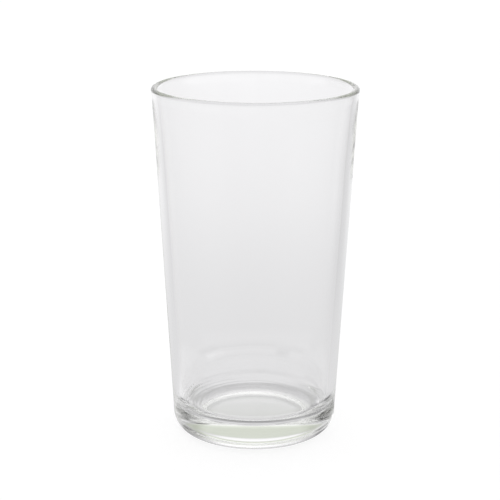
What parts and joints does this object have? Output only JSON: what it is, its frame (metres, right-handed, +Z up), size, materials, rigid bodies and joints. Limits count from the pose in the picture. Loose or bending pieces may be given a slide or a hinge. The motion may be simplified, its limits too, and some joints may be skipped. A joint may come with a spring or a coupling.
{
  "type": "mixing glass",
  "caption": "Plain tapered bar mixing glass in clear glass, with a thick base, rounded heel and fire-polished rim, for stirring, shaking and serving drinks.",
  "frame": {"origin": "centre of the base, on the surface that the glass stands on", "axes": "+Z up along the glass's axis of symmetry, out of its mouth; the glass is round, so +X and +Y have no front"},
  "size_m": [0.087, 0.087, 0.1506],
  "materials": {
    "clear_glass": "clear pressed soda-lime glass, fire-polished smooth, very faint green where it is thick"
  },
  "bodies": {
    "root": {"tumbler": "clear_glass"}
  },
  "joints": []
}
